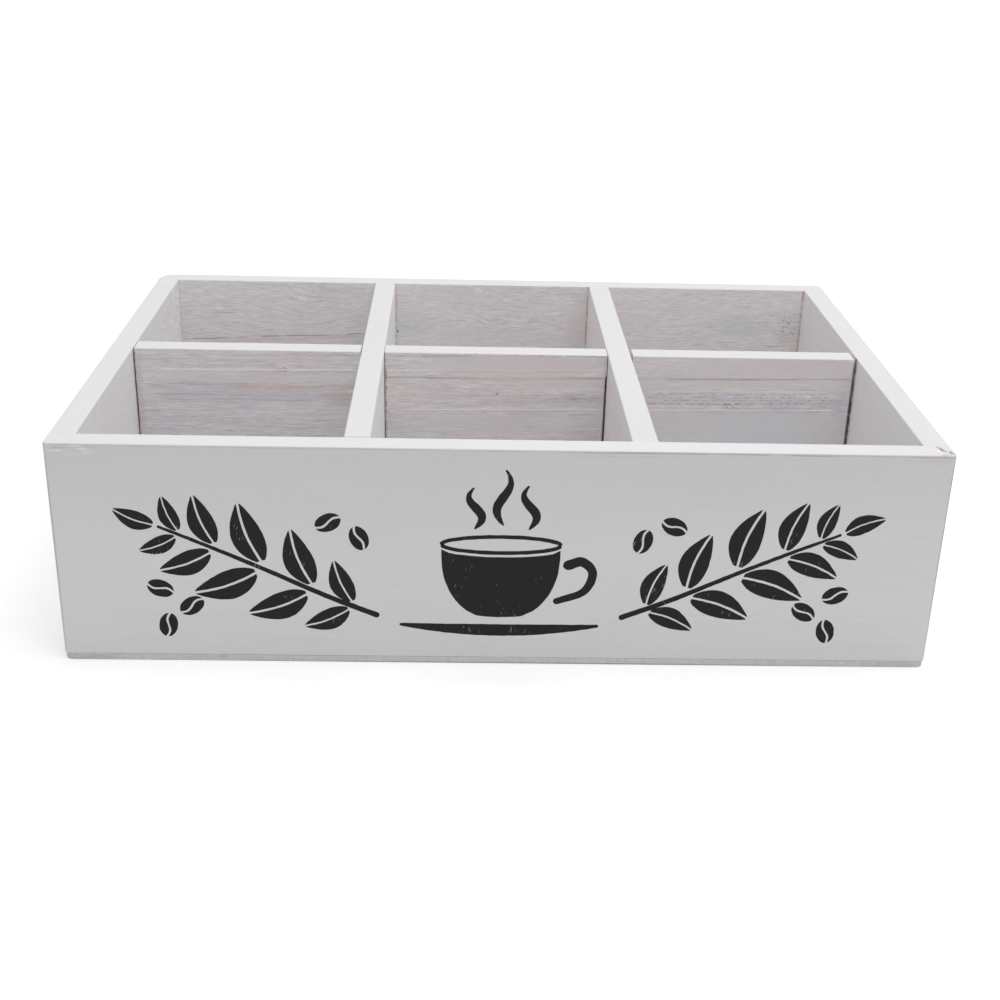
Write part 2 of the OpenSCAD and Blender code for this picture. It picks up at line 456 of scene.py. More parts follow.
# Adds a Geometry Nodes tree to an object, sets its inputs and makes the result a plain mesh
def grown(piece, tree, inputs):
    modifier = piece.modifiers.new("grow", "NODES")
    modifier.node_group = tree
    for item in tree.interface.items_tree:
        if item.in_out == "INPUT" and item.name in inputs:
            modifier[item.identifier] = inputs[item.name]
    bpy.context.view_layer.update()
    evaluated = piece.evaluated_get(bpy.context.evaluated_depsgraph_get())
    mesh = bpy.data.meshes.new_from_object(evaluated)
    mesh.name = piece.name
    piece.modifiers.clear()
    piece.data = mesh
    mesh.polygons.foreach_set("use_smooth", [True] * len(mesh.polygons))
    mesh.set_sharp_from_angle(angle=math.radians(40))
    return piece


def newTree(name, inputs):
    tree = bpy.data.node_groups.new(name, "GeometryNodeTree")
    tree.interface.new_socket("Geometry", in_out="INPUT", socket_type="NodeSocketGeometry")
    for label, kind in inputs.items():
        tree.interface.new_socket(label, in_out="INPUT", socket_type="NodeSocket" + kind)
    tree.interface.new_socket("Geometry", in_out="OUTPUT", socket_type="NodeSocketGeometry")
    graph = Graph(tree)
    entry = graph.node("NodeGroupInput")
    return tree, graph, {socket.name: Value(graph, socket) for socket in entry.outputs if socket.name}


def endTree(graph, geometry, material):
    real = graph.value("GeometryNodeRealizeInstances", None, {0: geometry})
    dressed = graph.value("GeometryNodeSetMaterial", None, {"Geometry": real, "Material": material})
    graph.node("NodeGroupOutput", None, {0: dressed})


# The relief of sawn and sanded boards: ridges along the grain, pressed in from the true faces
def grainTree():
    tree, g, given = newTree("grainRelief", {
        "Depth": "Float", "Stretch": "Vector", "Sides": "Vector", "Seed": "Float", "Material": "Material"})
    place = g.times(g.value("GeometryNodeInputPosition"), given["Stretch"])
    ridges = g.noise(place, 3.0, 0.6, given["Seed"])
    swell = g.noise(g.scaled(place, 0.11), 2.0, 0.5, given["Seed"])
    inwards = (ridges * 0.7 + swell * 0.6) * given["Depth"] * -1.0
    facing = g.times(g.value("GeometryNodeInputNormal"), given["Sides"])
    moved = g.value("GeometryNodeSetPosition", None, {
        "Geometry": given["Geometry"], "Offset": g.scaled(facing, inwards)})
    endTree(g, moved, given["Material"])
    return tree


grainRelief = grainTree()
ridge = {"width": 1.3 * mm, "length": 38 * mm}


def boardPiece(name, node, look, skin, depth):
    made = meshObject(name, *skin)
    close, drawn = 1.0 / ridge["width"], 1.0 / ridge["length"]
    alongX = look["along"] != "y"
    grown(made, grainRelief, {
        "Depth": depth, "Seed": look["seed"], "Material": PaintedWood(name + "Paint", look).made,
        "Stretch": (drawn, close, close) if alongX else (close, drawn, close),
        "Sides": (0.0, 1.0, 1.0) if alongX else (1.0, 0.0, 1.0)})
    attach(made, "root")
    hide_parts(node)


nodeBox = {node: [np.array(corner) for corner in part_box(node)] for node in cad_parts}
wallIn = nodeBox["left_side_board"][1][0]
dividerAt = [nodeBox[node][i][0] for node in ("left_divider", "right_divider") for i in (0, 1)]


# The four walls. The front and back boards run along X and cover the ends of the others.
walls = {
    "topEase": 0.45 * mm, "footEase": 0.12 * mm, "joinEase": 0.05 * mm, "joinRun": 0.6 * mm,
    "frontCorner": 1.5 * mm, "backRightCorner": 2.5 * mm, "backLeftCorner": 7.5 * mm,
    "frontDepth": 0.05 * mm, "backDepth": 0.10 * mm, "sideDepth": 0.09 * mm,
    "chips": [
        {"at": (155.9, -103.9, 86.1), "size": (0.75, 3.3, 2.2), "lean": 0.38, "depth": 0.75},
        {"at": (158.6, -107.0, 86.1), "size": (0.9, 1.9, 2.0), "lean": 0.2, "depth": 0.6},
        {"at": (155.6, -109.5, 86.1), "size": (1.8, 0.8, 1.6), "lean": 0.0, "depth": 0.45},
    ],
    # Finer lattice lines round the chips: first, last and step
    "chipX": (153.6, 159.8, 0.3), "chipY": (-109.5, -100.4, 0.35),
}


# Pores that show through the paint on the two ends of a board, whose middle plane is given
def endGrain(y):
    return [Spot((x, y, 44), (0.9, 5.4, 60), "rose", 0.35, 0.3, (0.5, 0.62), (5, 0.5)) for x in (-160, 160)]


# The hairlines where the front and back boards meet a side board, on its outer face
def jointLines(x):
    return [Spot((x, y, 44), (1.2, 0.3, 60), "dark", 0.35, 0.5, (0.36, 0.56), (5, 0.9))
            for y in (-100.25, 100.25)]


# Faint lines of grain that show through the paint of the outer faces
faintGrain = [
    Band(17, 1.4, -170, 60, "blue", 0.16, 3),
    Band(38, 0.7, -60, 170, "rose", 0.18, 4),
    Band(52, 1.8, -170, 170, "blue", 0.14, 5),
    Band(73, 0.6, -120, 110, "rose", 0.2, 3),
]
frontLook = {
    "along": "x", "seed": 3.0, "inner": (-102.8, -101.3), "relief": 0.00003, "swing": (1.2, 80.0, 20.0),
    # The outer face darkens a little towards the top as painted shade
    "chalk": 0.5, "shade": 0.07,
    "outerBands": [
        Band(85.3, 0.45, -158, 162, "dark", 0.2, 0.3, dash=16, broken=(0.3, 0.6)),
        Band(85.3, 0.4, 20, 162, "dark", 0.35, 0.45, dash=12, broken=(0.28, 0.52)),
        Band(83.9, 0.3, 20, 160, "brown", 0.15, 0.6, dash=9, broken=(0.42, 0.62)),
        Band(32.5, 0.7, -150, -30, "blue", 0.22, 2.5, dash=9, broken=(0.44, 0.6)),
        Band(19, 0.6, -130, 150, "blue", 0.18, 3, dash=8, broken=(0.46, 0.6)),
        Band(55, 0.6, 40, 155, "blue", 0.2, 4, dash=8, broken=(0.46, 0.6)),
    ],
    "marks": endGrain(-105.0) + [
        Spot((0, -105, 86.1), (200, 7, 0.6), "pale", 0.13, 0.4),
        Spot((-150, -109.8, 83.9), (12, 3, 2.4), "pale", 0.85, broken=(0.5, 0.6), dash=(9, 0.7)),
        Spot((-149, -109.8, 84.9), (14, 2, 1.2), "dark", 0.42, broken=(0.52, 0.6), dash=(6, 0.45)),
        Spot((154.6, -109.8, 84.6), (7.5, 3, 2.4), "rose", 0.3, 0.5),
        # In the chips at the front right corner the dark marks are painted shade, and the pale spot beside
        # them is a lighter flake that is partly a painted highlight
        Spot((155.9, -103.9, 86), (0.55, 2.9, 2), "dark", 0.7, 0.8, broken=(0.42, 0.52), dash=(1.2, 0.7)),
        Spot((154.9, -104.9, 86.2), (0.9, 1.7, 2), "pale", 0.9, 0.5),
        Spot((158.5, -106.9, 86), (0.9, 2, 2), "dark", 0.65, 0.8, broken=(0.46, 0.54), dash=(1, 0.6)),
        Spot((155.6, -109.3, 86), (2.2, 0.8, 1.2), "brown", 0.6, 0.6, broken=(0.48, 0.56), dash=(1.2, 0.5)),
        # Dark lines down the front face's rounded upright corners: painted shade
        Spot((-159.7, -109.4, 44), (0.9, 1.6, 60), "dark", 0.38, 0.3),
        Spot((159.7, -109.4, 44), (0.9, 1.6, 60), "dark", 0.38, 0.3),
        Spot((159.8, -109.4, 78), (0.7, 1.6, 11), "dark", 0.45, 0.6),
        Spot((155.6, -98.2, 86), (0.7, 1.5, 1), "brown", 0.5, 1.2),
        Spot((55, -109.8, 84.3), (60, 2, 0.6), "brown", 0.35, broken=(0.56, 0.64), dash=(3, 0.5)),
        Spot((60, -109.8, 79.5), (15, 3, 3), "blue", 0.25, broken=(0.5, 0.62)),
    ]}
backLook = {
    "along": "x", "seed": 8.0, "inner": (102.8, 101.3), "face": 100.3, "swing": (4.0, 46.0, 20.0),
    "flecks": 0.15, "streaks": 0.17, "fines": 0.75, "threads": 0.09, "rings": 0.025, "ringGap": 1.7,
    # Its thin paint is brightened as painted light and darkened downwards as painted shade
    "chalk": 0.45, "ripple": 1.8, "shadeDownwards": (86.0, 56.0, 0.05), "paintedLight": 1.02,
    "brushed": 0.10, "outerBands": faintGrain, "marks": endGrain(105.0),
    "curls": [
        Curl((-86, 73), (22, 15), 3.2, slant=9),
        Curl((-22, 69), (22, 15), -3.4, slant=-5),
        Curl((-7.4, 81.6), (5, 3), 2),
    ],
    "bands": [
        Band(63.9, 0.33, -152, -60, "dark", 0.8, 0.7, slope=0.051, dash=17, broken=(0.42, 0.54), raised=-2),
        Band(62.7, 1.4, -140, -60, "rose", 0.45, 0.9, slope=0.051),
        Band(70, 0.34, -143, -121, "brown", 0.5, 0.5),
        Band(60.4, 5, -46, 30, "cool", 0.5, 1.5),
    ],
    "spots": [
        Spot((123, 66.6), (16, 6), "green", 0.4, 2.4),
        Spot((-40, 67.4), (13, 9), "green", 0.35, 2.4),
        Spot((-6.8, 64.3), (8, 0.9), "dark", 0.35, broken=(0.5, 0.6)),
        Spot((144.5, 67), (9.5, 9.5), "dark", 0.7, broken=(0.53, 0.61), dash=(2.6, 0.34)),
        Spot((120, 69), (22, 7), "dark", 0.3, broken=(0.58, 0.66), dash=(3.5, 0.36)),
        Spot((-46, 62.1), (0.7, 0.8), "dark", 0.9, 0.4),
        Spot((42, 60), (7, 22), "warm", 0.6),
    ],
    "edges": [
        Edge(-46.8, 0.8, "brown", 0.55),
        Edge(45.9, 0.8, "brown", 0.75),
        Edge(150.3, 0.9, "brown", 0.7),
        Edge(-150.4, 0.6, "rose", 0.4),
    ]}
leftLook = {
    "along": "y", "seed": 14.0, "inner": (-152.5, -151.1), "face": -150.5, "swing": (5.0, 60.0, 24.0),
    "chalk": 0.75, "streaks": 0.10, "fines": 0.26, "threads": 0.0, "ringGap": 1.9, "ripple": 1.6,
    # Its thin paint is brightened as painted light
    "paintedLight": 1.05, "brushed": 0.10, "outerBands": faintGrain, "marks": jointLines(-160.0),
    "curls": [Curl((96, 62), (40, 34), 17)],
    "spots": [
        Spot((80, 72), (32, 30), "pale", 0.85, broken=(0.46, 0.58), dash=(7, 0.8)),
        Spot((80, 72), (32, 30), "rose", 0.4, broken=(0.48, 0.4), dash=(7, 0.8))],
    # The dark stripe up the inner face beside the cross divider's end is painted shade inside the gap
    "edges": [Edge(-2.8, 1.8, "dark", 0.7)]}
rightLook = {
    "along": "y", "seed": 19.0, "inner": (152.5, 151.1), "swing": (2.5, 70.0, 24.0), "chalk": 0.75,
    # Its thin paint is brightened as painted light
    "streaks": 0.10, "fines": 0.20, "threads": 0.0, "paintedLight": 1.09,
    "brushed": 0.10, "outerBands": faintGrain, "marks": jointLines(160.0),
    "edges": [
        # Beside the cross divider's end: the rose stripe is a stain, the dark one is painted shade inside the
        # gap
        Edge(-3.6, 2.6, "rose", 0.4),
        Edge(-2.3, 2, "dark", 0.9),
    ]}


# The easing radius along an edge that other boards join: next to nothing where they join, full between
def easeBetween(along, joins):
    radius = np.full(len(along), walls["topEase"])
    for low, high in joins:
        away = np.maximum(low - along, along - high)
        grown = smoothStep(away, 0.0, walls["joinRun"])
        radius = np.minimum(radius, walls["joinEase"] + (walls["topEase"] - walls["joinEase"]) * grown)
    return radius


# The front board has end -1, the back board end 1; corners are the plan radii on the left and right
def endBoard(node, end, corners, chipped=False):
    low, high = nodeBox[node]
    ease, run = walls["topEase"], walls["joinRun"]
    outer, inner = (low[1], high[1]) if end < 0 else (high[1], low[1])
    cornerSteps = [radius * share for radius in corners for share in arcShares]
    xMarks = edgeMarks(low[0], high[0], ease)
    xMarks += [low[0] + c for c in cornerSteps] + [high[0] - c for c in cornerSteps]
    xMarks += [x + share * run for x in [wallIn, *dividerAt, -wallIn] for share in (-1, -0.5, 0, 0.5, 1)]
    yMarks = edgeMarks(low[1], high[1], ease) + [outer - end * c for c in cornerSteps]
    zMarks = edgeMarks(low[2], high[2], ease) + [low[2] + walls["footEase"]]
    if chipped:
        xMarks += list(np.arange(*walls["chipX"]) * mm)
        yMarks += list(np.arange(*walls["chipY"]) * mm)
    lines = [
        latticeLines(low[0], high[0], cell["along"], xMarks),
        latticeLines(low[1], high[1], cell["through"], yMarks),
        latticeLines(low[2], high[2], cell["across"], zMarks)]
    points, quads = blockSkin(lines)
    joins = [(low[0] - mm, wallIn), dividerAt[:2], dividerAt[2:], (-wallIn, high[0] + mm)]
    top, foot, outerFace = (2, high[2], -1), (2, low[2], 1), (1, outer, -end)
    if chipped:
        for spot in walls["chips"]:
            chip(points, spot)
    roundEdge(points, outerFace, top, ease)
    roundEdge(points, (1, inner, end), top, easeBetween(points[:, 0], joins))
    roundEdge(points, outerFace, foot, walls["footEase"])
    for side, plane, radius in ((1, low[0], corners[0]), (-1, high[0], corners[1])):
        roundEdge(points, (0, plane, side), top, ease)
        roundEdge(points, (0, plane, side), outerFace, radius)
    return points, quads


# A board that runs along one axis between others, with its slots cut out
def runBoard(node, axis, slots=(), shorten=0.0, endEase=0.0):
    low, high = [corner.copy() for corner in nodeBox[node]]
    low[axis] += shorten
    thick, ease = 1 - axis, walls["topEase"]
    marks = [[], [], edgeMarks(low[2], high[2], ease)]
    marks[thick] = edgeMarks(low[thick], high[thick], ease)
    marks[axis] = edgeMarks(low[axis], high[axis], endEase)
    for corners in slots:
        for direction in range(3):
            marks[direction] += [corner[direction] for corner in corners]
    steps = [cell["along"], cell["along"], cell["across"]]
    steps[thick] = cell["through"]
    lines = [latticeLines(low[d], high[d], steps[d], marks[d]) for d in range(3)]
    points, quads = blockSkin(lines, slots)
    top = (2, high[2], -1)
    for side, end in ((1, low), (-1, high)):
        roundEdge(points, (thick, end[thick], side), top, ease)
        roundEdge(points, (axis, end[axis], side), top, endEase)
    return points, quads


frontSkin = endBoard("front_board", -1, (walls["frontCorner"], walls["frontCorner"]), True)
backSkin = endBoard("back_board", 1, (walls["backLeftCorner"], walls["backRightCorner"]))
boardPiece("frontBoard", "front_board", frontLook, frontSkin, walls["frontDepth"])
boardPiece("backBoard", "back_board", backLook, backSkin, walls["backDepth"])
for side, look in (("left", leftLook), ("right", rightLook)):
    node = side + "_side_board"
    boardPiece(side + "Side", node, look, runBoard(node, 1), walls["sideDepth"])
print("walls made")


# The divider grid: two long boards, and one across them in cross laps
grid = {
    "hairline": 0.4 * mm, "lap": 0.3 * mm, "lapGap": 0.18 * mm, "endGap": 0.25 * mm, "ragged": 0.2 * mm,
    "longDepth": 0.10 * mm, "crossDepth": 0.13 * mm, "crossEnd": 0.25 * mm,
    # How far the cross divider's parts end from the long dividers, above and below a height
    "ends": [
        {"top": 0.35 * mm, "low": 0.30 * mm, "level": 70 * mm},
        {"top": 0.18 * mm, "low": 0.25 * mm, "level": 70 * mm},
        {"top": 0.25 * mm, "low": 0.85 * mm, "level": 76.5 * mm},
        {"top": 0.95 * mm, "low": 0.20 * mm, "level": 79 * mm},
    ],
}
leftDividerLook = {
    # Its thin paint is brightened as painted light
    "along": "y", "seed": 25.0, "swing": (3.0, 60.0, 24.0), "chalk": 1.0, "paintedLight": 1.09, "streaks": 0.10,
    # Its edge stripe is bare wood beside the lap gap, darkened further as painted shade
    "fines": 0.16, "threads": 0.0, "edges": [Edge(-3, 1.5, "brown", 0.6)]}
rightDividerLook = {
    # Its thin paint is brightened as painted light
    "along": "y", "seed": 31.0, "swing": (3.0, 60.0, 24.0), "chalk": 0.2, "paintedLight": 1.05, "streaks": 0.12,
    # Its dark edge stripe is painted shade inside the lap gap
    "fines": 0.20, "threads": 0.02, "edges": [Edge(-2.6, 1.8, "dark", 0.8)]}
crossLook = {
    "along": "x", "seed": 41.0, "tilt": 0.012, "face": -4.3, "swing": (0.9, 90.0, 20.0),
    # Its thin paint is darkened downwards as painted shade
    "shadeDownwards": (76.0, 54.0, 0.06), "streaks": 0.36, "fines": 0.80, "flecks": 0.22, "rings": 0.03, "ringGap": 2.7,
    "chalk": 0.06, "threads": 0.10,
    "curls": [Curl((-89, 77.3), (6, 2.6), 2.6, slant=-1)],
    "calm": [
        Spot((112, 81.5), (60, 6.5), strength=0.8),
        Spot((105, 54), (62, 9), strength=0.5),
        Spot((-4, 54), (50, 6), strength=0.5),
        Spot((-110, 74.5), (60, 3.5), strength=0.5),
        Spot((-105, 82), (55, 3), strength=0.2),
    ],
    "bands": [
        Band(84.9, 0.5, -152, 152, "brown", 0.28, 0.5, dash=12, broken=(0.35, 0.6)),
        Band(84.9, 0.6, -34, 49, "brown", 0.6, 0.5, dash=6, broken=(0.42, 0.56)),
        Band(78.6, 0.5, -142, 49, "pale", 1, 0.7, broken=(0.2, 0.45), raised=1.5),
        Band(78.5, 0.75, -132, -66, "pale", 1, 0.6, dash=16, broken=(0.36, 0.5)),
        Band(77.6, 0.5, -100, -56, "blue", 0.55, 0.7),
        Band(71.6, 1.9, -148, -56, "brown", 0.38, 1.2),
        Band(70.2, 0.6, -130, -56, "rose", 0.5, 1),
        Band(66.4, 5, -150, -56, "blue", 0.4, 1.5),
        Band(67.6, 0.45, -144, -58, "dark", 0.3, 0.8, dash=11, broken=(0.4, 0.56)),
        Band(65.3, 0.45, -140, -58, "brown", 0.45, 0.8, dash=9, broken=(0.42, 0.56)),
        Band(63.9, 0.4, -130, -58, "pale", 0.5, 0.8, dash=9, broken=(0.44, 0.56)),
        Band(82.2, 0.4, -142, -58, "dark", 0.22, 0.8, dash=9, broken=(0.44, 0.58)),
        Band(75.3, 0.85, -49, 152, "brown", 0.55, 0.5),
        Band(72.7, 2.8, 8, 152, "warm", 0.8, 0.8),
        Band(69.9, 0.45, 60, 150, "pale", 0.7, 0.4),
        Band(67.7, 0.35, -48, 45, "blue", 0.6, 0.6),
        Band(65.2, 2.6, -10, 150, "blue", 0.35, 0.8),
        Band(61.3, 0.5, -42, 144, "pale", 1, 0.3, broken=(0.1, 0.34), raised=3),
        Band(57, 4, -42, 60, "cool", 0.4, 1.2),
        Band(56, 5.5, 56, 154, "white", 0.75, 1),
        Band(68.6, 0.4, 62, 150, "brown", 0.7, 0.6, dash=1.8, broken=(0.48, 0.58)),
        Band(67.2, 0.35, 60, 148, "dark", 0.5, 0.8, dash=1.4, broken=(0.5, 0.58)),
        Band(65.8, 0.35, 66, 152, "dark", 0.5, 0.8, dash=1.4, broken=(0.5, 0.58)),
        Band(64.4, 0.4, 60, 144, "brown", 0.8, 0.6, dash=1.6, broken=(0.48, 0.56)),
        Band(63.2, 0.4, 60, 144, "pale", 0.9, 0.6, dash=2, broken=(0.46, 0.54)),
        Band(62.4, 0.4, -120, -62, "pale", 0.5, 0.6),
        Band(60, 0.35, -112, -60, "pale", 0.7, 0.5),
        Band(57.8, 0.32, -118, -64, "pale", 0.65, 0.5),
        Band(55.2, 0.32, -108, -60, "pale", 0.6, 0.5),
        Band(53.3, 0.3, -100, -70, "blue", 0.6, 0.5),
        Band(52, 0.5, -150, -120, "brown", 0.3, 0.8),
    ],
    "spots": [
        Spot((36, 67.4), (15, 3.2), "dark", 0.55, broken=(0.54, 0.62), dash=(6, 0.34)),
        Spot((99.7, 64.6), (6, 1.7), "dark", 0.8, 1.4, broken=(0.5, 0.58), dash=(1.2, 0.4)),
        Spot((-88.5, 77.6), (6, 1.7), "pale", 1, 0.4, broken=(0.51, 0.55), dash=(5, 0.55), raised=1.5),
        Spot((-88.5, 77.6), (5.5, 1.6), "dark", 0.4, 0.4, broken=(0.48, 0.44), dash=(5, 0.55)),
        Spot((108, 48), (62, 16), "mist", 0.65, 2),
        Spot((99.7, 64.6), (4.5, 1.6), "chalk", 0.8, 1, broken=(0.48, 0.42), dash=(1.2, 0.4)),
        Spot((120, 64), (14, 1.6), "dark", 0.5, 1.4, broken=(0.54, 0.6), dash=(1.6, 0.35)),
        Spot((0.1, 68.3), (0.9, 0.45), "dark", 0.85, 0.2),
        Spot((-66, 65.4), (8, 5), "rose", 0.45),
        Spot((6, 80.5), (48, 7), "warm", 0.85),
    ],
    "edges": [
        Edge(-149.2, 2.6, "rose", 0.5),
        Edge(-150.1, 0.6, "brown", 0.85),
        Edge(-46.7, 0.9, "brown", 0.9),
        Edge(45.4, 1, "rose", 0.7),
        Edge(45.6, 0.5, "dark", 0.6, rise=(-9, 76.5)),
        Edge(149.4, 0.5, "brown", 0.5),
    ],
    "marks": [
        Spot((6, -4.3, 85.8), (44, 1, 0.8), "brown", 0.6, broken=(0.56, 0.62), dash=(2.5, 0.5)),
    ],
}
crossLow, crossHigh = nodeBox["cross_divider"]
lapZ = (crossLow[2] + crossHigh[2]) / 2
longSlot = ((-1.0, crossLow[1] - grid["lap"], -1.0), (1.0, crossHigh[1] + grid["lap"], lapZ + grid["lap"]))
for side, look, short in (("left", leftDividerLook, grid["hairline"]), ("right", rightDividerLook, 0.0)):
    skin = runBoard(side + "_divider", 1, [longSlot], short)
    boardPiece(side + "Divider", side + "_divider", look, skin, grid["longDepth"])


# Noise along the height of an upright edge
def roughness(place, heights, size):
    return np.array([noise.noise(Vector((place, 0.0, height / size))) for height in heights])


# The cross divider's parts between its slots end unevenly beside the long dividers
def crossSkin():
    least = grid["lapGap"]
    cuts = [dividerAt[k] + least * (-1 if k % 2 == 0 else 1) for k in range(4)]
    slots = [((cuts[k], -1.0, lapZ), (cuts[k + 1], 1.0, 1.0)) for k in (0, 2)]
    points, quads = runBoard("cross_divider", 0, slots, 0.0, grid["crossEnd"])
    for k, end in enumerate(grid["ends"]):
        at = np.nonzero((abs(points[:, 0] - cuts[k]) < 0.02 * mm) & (points[:, 2] > lapZ))[0]
        z = points[at, 2]
        wide = end["low"] + (end["top"] - end["low"]) * smoothStep(z, end["level"] - mm, end["level"] + mm)
        more = np.maximum(wide - least + grid["ragged"] * roughness(k, z, 1.4 * mm), 0.0)
        points[at, 0] += (-1 if k % 2 == 0 else 1) * more
    for end, inwards, least, ragged in ((crossLow, 1, 0.0, 1.2), (crossHigh, -1, grid["endGap"], 2.0)):
        at = np.nonzero(abs(points[:, 0] - end[0]) < 0.3 * mm)[0]
        rough = abs(roughness(inwards, points[at, 2], 1.6 * mm))
        points[at, 0] += inwards * (least + grid["ragged"] * ragged * rough)
    return points, quads


boardPiece("crossDivider", "cross_divider", crossLook, crossSkin(), grid["crossDepth"])
print("divider grid made")


# The base panel, with a small pit under each brad's head
panel = {
    "topEase": 0.4 * mm, "footEase": 0.3 * mm, "frontCorner": 3 * mm, "step": 2.0 * mm, "depth": 0.05 * mm,
    "pitRadius": 1.12 * mm, "pitDepth": 0.95 * mm, "pitRun": 2.4 * mm,
}
panelLook = {
    "along": "flat", "seed": 52.0, "swing": (5.0, 90.0, 60.0), "chalk": 0.7, "streaks": 0.10, "mottle": 0.34,
    "darker": 0.785, "bareBelow": 0.16,
    "marks": [
        # A dark line along the bottom of the front edge: painted contact shadow
        Spot((24, -109.8, 0), (150, 2, 0.65), "dark", 0.85, 0.5),
        Spot((-152, -109.8, 1.2), (12, 3, 1.6), "rose", 0.4),
        Spot((148, -109.8, 1.4), (16, 3, 1.6), "rose", 0.3),
    ]}


def middleOf(nodes, axis):
    return [(nodeBox[node][0][axis] + nodeBox[node][1][axis]) / 2 for node in nodes]


# Where the brads go up through the base panel: under every wall and divider
def bradSpots():
    upright = middleOf(("left_side_board", "left_divider", "right_divider", "right_side_board"), 0)
    level = middleOf(("front_board", "cross_divider", "back_board"), 1)
    between = [wallIn, *dividerAt, -wallIn]
    bayX = [(a + b) / 2 for a, b in zip(between[::2], between[1::2])]
    pairs = (("front_board", "cross_divider"), ("cross_divider", "back_board"))
    bayY = [(nodeBox[a][1][1] + nodeBox[b][0][1]) / 2 for a, b in pairs]
    return [(x, y) for x in bayX for y in level] + [(x, y) for x in upright for y in bayY]


def panelSkin():
    low, high = nodeBox["base_panel"]
    ease, foot = panel["topEase"], panel["footEase"]
    radii = {(-1, -1): panel["frontCorner"], (1, -1): panel["frontCorner"],
             (1, 1): walls["backRightCorner"], (-1, 1): walls["backLeftCorner"]}
    steps = [radius * share for radius in radii.values() for share in arcShares]
    marks = [edgeMarks(low[d], high[d], ease) + edgeMarks(low[d], high[d], foot) for d in range(3)]
    pit, run = panel["pitRadius"], panel["pitRun"]
    rings = [sign * r for r in (0.5 * pit, 0.8 * pit, 0.97 * pit, 1.08 * pit, run) for sign in (-1, 1)]
    for d in (0, 1):
        marks[d] += [low[d] + s for s in steps] + [high[d] - s for s in steps]
        marks[d] += [middle + r for middle in {round(spot[d], 6) for spot in bradSpots()} for r in rings]
    marks[2].append(low[2] + panel["pitDepth"])
    lines = [latticeLines(low[d], high[d], step, marks[d])
             for d, step in enumerate((cell["along"], panel["step"], cell["through"]))]
    points, quads = blockSkin(lines)
    for side in ((0, low[0], 1), (0, high[0], -1), (1, low[1], 1), (1, high[1], -1)):
        roundEdge(points, side, (2, high[2], -1), ease)
        roundEdge(points, side, (2, low[2], 1), foot)
    for (wayX, wayY), radius in radii.items():
        cornerX = (0, high[0] if wayX > 0 else low[0], -wayX)
        cornerY = (1, high[1] if wayY > 0 else low[1], -wayY)
        roundEdge(points, cornerX, cornerY, radius)
    under = np.nonzero(points[:, 2] < low[2] + 1e-6)[0]
    for spot in bradSpots():
        pressPit(points, under, np.array(spot))
    return points, quads


# Turns the square rings of lattice points round a brad into circles, and presses the inner ones up
def pressPit(points, under, spot):
    away = points[under, :2] - spot
    square = abs(away).max(1)
    near = square < panel["pitRun"] + 1e-6
    chosen, away, square = under[near], away[near], square[near]
    rounder = square / np.maximum(np.hypot(away[:, 0], away[:, 1]), 1e-9)
    share = 1.0 - smoothStep(square, panel["pitRadius"] * 1.1, panel["pitRun"])
    points[chosen, :2] = spot + away * (1.0 + share * (rounder - 1.0))[:, None]
    points[chosen, 2] += panel["pitDepth"] * (square < panel["pitRadius"])


boardPiece("basePanel", "base_panel", panelLook, panelSkin(), panel["depth"])
print("base panel made")


# Brads. The heads under the base are seen; the rest sit inside the wood and stay as they are.
brads = {
    "headRadius": 1.0 * mm, "headHeight": 0.6 * mm, "shank": 0.6 * mm, "length": 15 * mm, "point": 1.8 * mm,
    "sink": 0.3 * mm, "sides": 20,
    # Half the head's outline, as shares of its radius and height
    "outline": [(0.0, 0.03), (0.55, 0.02), (0.86, 0.06), (1.0, 0.22), (1.0, 0.8), (0.94, 1.0)],
}


def bradSteel():
    made, g = newMaterial("bradSteel")
    place = g.value("ShaderNodeTexCoord", out=3)
    wear = g.noise(g.scaled(place, 2500.0), 3.0, 0.6)
    rust = g.ramp(g.noise(g.scaled(place, 900.0), 2.0, 0.5, 3.0), 0.55, 0.75)
    colour = g.blend(wear, rgb(0.42, 0.41, 0.39), rgb(0.62, 0.61, 0.59))
    colour = g.blend(rust * 0.4, colour, rgb(0.32, 0.22, 0.16))
    surface(g, colour, 0.30 + wear * 0.25, wear, 0.00001, {"Metallic": 1.0})
    return made


# One brad, turned from its half outline, its head's face downwards
def bradCopy():
    shank, tall, length = brads["shank"], brads["headHeight"], brads["length"]
    outline = [(r * brads["headRadius"], z * tall) for r, z in brads["outline"]]
    outline += [(shank, tall * 1.02), (shank, length - brads["point"]), (shank * 0.2, length)]
    sides, points, faces = brads["sides"], [], []
    turns = np.arange(sides) * 2 * math.pi / sides
    for r, z in outline[1:]:
        points += [(r * math.cos(t), r * math.sin(t), z) for t in turns]
    rows = len(outline) - 1
    for row in range(rows - 1):
        for k in range(sides):
            a, b = row * sides + k, row * sides + (k + 1) % sides
            faces.append((a, b, b + sides, a + sides))
    faces.append(tuple(range(sides))[::-1])
    faces.append(tuple(range((rows - 1) * sides, rows * sides)))
    mesh = bpy.data.meshes.new("bradCopy")
    mesh.from_pydata(points, [], faces)
    made = bpy.data.objects.new("bradCopy", mesh)
    scene.collection.objects.link(made)
    return made


